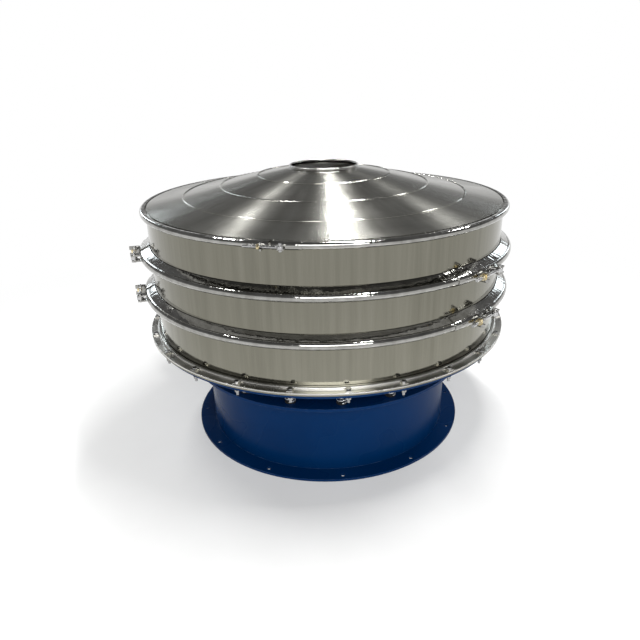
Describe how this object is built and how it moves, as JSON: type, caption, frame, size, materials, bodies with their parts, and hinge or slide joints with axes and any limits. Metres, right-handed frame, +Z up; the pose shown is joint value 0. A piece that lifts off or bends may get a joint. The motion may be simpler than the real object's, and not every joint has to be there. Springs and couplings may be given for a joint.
{
  "type": "vibrating sieve",
  "caption": "Round vibrating sieve: conical cover with a feed collar, clamped stainless frames with side outlets, springs and a blue drum base.",
  "frame": {"origin": "centre of the floor flange's underside, on the machine's axis", "axes": "+Z up along the machine's axis; -Y towards the viewer of the picture; +X to the viewer's right"},
  "size_m": [1.6055, 1.7308, 1.162],
  "materials": {
    "stainless_mirror": "mirror polished",
    "stainless_satin": "satin",
    "blue_paint": "gloss",
    "spring_steel": "bright drawn",
    "zinc_yellow": "yellow passivated",
    "seal_rubber": "matt",
    "seat_rubber": "matt",
    "wire_cloth": "woven",
    "motor_paint": "satin paint",
    "core_steel": "laminated",
    "machined_steel": "turned",
    "gland_plastic": "matt"
  },
  "bodies": {
    "base": {"base_drum": "blue_paint", "base_spring_flange": "blue_paint", "cable_gland": "gland_plastic", "lower_spring_seats": "seat_rubber", "support_springs": "spring_steel"},
    "sieve": {"band_hinge_pins": "spring_steel", "bottom_dome": "stainless_satin", "cover_cone": "stainless_satin", "cover_hinge_pin": "spring_steel", "cover_hoop": "stainless_mirror", "cover_seal": "seal_rubber", "flange_bolts": "spring_steel", "flange_clips": "stainless_satin", "flange_hoop": "stainless_satin", "flange_nuts": "spring_steel", "inlet_collar": "stainless_mirror", "lower_band_1": "stainless_mirror", "lower_band_2": "stainless_mirror", "lower_band_3": "stainless_mirror", "lower_frame": "stainless_mirror", "lower_screen_mesh": "wire_cloth", "lower_screen_ring": "stainless_satin", "lower_screen_seal": "seal_rubber", "lower_spout": "stainless_mirror", "middle_frame": "stainless_mirror", "middle_spout": "stainless_mirror", "motor_bearings": "machined_steel", "motor_bolts": "spring_steel", "motor_end_shields": "motor_paint", "motor_housing": "motor_paint", "motor_stator": "core_steel", "motor_terminal_box": "motor_paint", "upper_band_1": "stainless_mirror", "upper_band_2": "stainless_mirror", "upper_band_3": "stainless_mirror", "upper_frame": "stainless_mirror", "upper_screen_mesh": "wire_cloth", "upper_screen_ring": "stainless_satin", "upper_screen_seal": "seal_rubber", "upper_spout": "stainless_mirror", "upper_spring_seats": "seat_rubber", "vibrating_table": "blue_paint"},
    "rotor": {"motor_shaft": "machined_steel", "upper_weight": "machined_steel", "lower_fixed_weight": "machined_steel"},
    "phase_weight": {"lower_adjustable_weight": "machined_steel"},
    "lower_swing_1": {"lower_swing_bolt_1": "spring_steel", "lower_swing_nut_1": "zinc_yellow"},
    "lower_swing_2": {"lower_swing_bolt_2": "spring_steel", "lower_swing_nut_2": "zinc_yellow"},
    "lower_swing_3": {"lower_swing_bolt_3": "spring_steel", "lower_swing_nut_3": "zinc_yellow"},
    "upper_swing_1": {"upper_swing_bolt_1": "spring_steel", "upper_swing_nut_1": "zinc_yellow"},
    "upper_swing_2": {"upper_swing_bolt_2": "spring_steel", "upper_swing_nut_2": "zinc_yellow"},
    "upper_swing_3": {"upper_swing_bolt_3": "spring_steel", "upper_swing_nut_3": "zinc_yellow"},
    "cover_swing": {"cover_swing_bolt": "spring_steel", "cover_swing_nut": "zinc_yellow"}
  },
  "joints": [
    {"name": "sieve_bounce", "type": "slide", "parent": "base", "child": "sieve", "axis": [0, 0, 1], "range_m": [-0.006, 0.006], "stiffness_N_per_m": 507000, "springref_m": 0.01201, "deforming": ["support_springs"]},
    {"name": "shaft_spin", "type": "hinge", "parent": "sieve", "child": "rotor", "pos_m": [0, 0, 0.35], "axis": [0, 0, 1], "continuous": true},
    {"name": "weight_phase", "type": "hinge", "parent": "rotor", "child": "phase_weight", "pos_m": [0, 0, 0.145], "axis": [0, 0, 1], "range_deg": [0, 90]},
    {"name": "lower_bolt_swing_1", "type": "hinge", "parent": "sieve", "child": "lower_swing_1", "pos_m": [0.62686, -0.51905, 0.677], "axis": [0, 0, 1], "range_deg": [0, 100]},
    {"name": "lower_bolt_swing_2", "type": "hinge", "parent": "sieve", "child": "lower_swing_2", "pos_m": [0.13608, 0.8024, 0.677], "axis": [0, 0, 1], "range_deg": [0, 100]},
    {"name": "lower_bolt_swing_3", "type": "hinge", "parent": "sieve", "child": "lower_swing_3", "pos_m": [-0.76294, -0.28336, 0.677], "axis": [0, 0, 1], "range_deg": [0, 100]},
    {"name": "upper_bolt_swing_1", "type": "hinge", "parent": "sieve", "child": "upper_swing_1", "pos_m": [0.62686, -0.51905, 0.847], "axis": [0, 0, 1], "range_deg": [0, 100]},
    {"name": "upper_bolt_swing_2", "type": "hinge", "parent": "sieve", "child": "upper_swing_2", "pos_m": [0.13608, 0.8024, 0.847], "axis": [0, 0, 1], "range_deg": [0, 100]},
    {"name": "upper_bolt_swing_3", "type": "hinge", "parent": "sieve", "child": "upper_swing_3", "pos_m": [-0.76294, -0.28336, 0.847], "axis": [0, 0, 1], "range_deg": [0, 100]},
    {"name": "cover_bolt_swing", "type": "hinge", "parent": "sieve", "child": "cover_swing", "pos_m": [-0.13911, -0.77148, 1.0145], "axis": [0, 0, 1], "range_deg": [0, 100]}
  ]
}
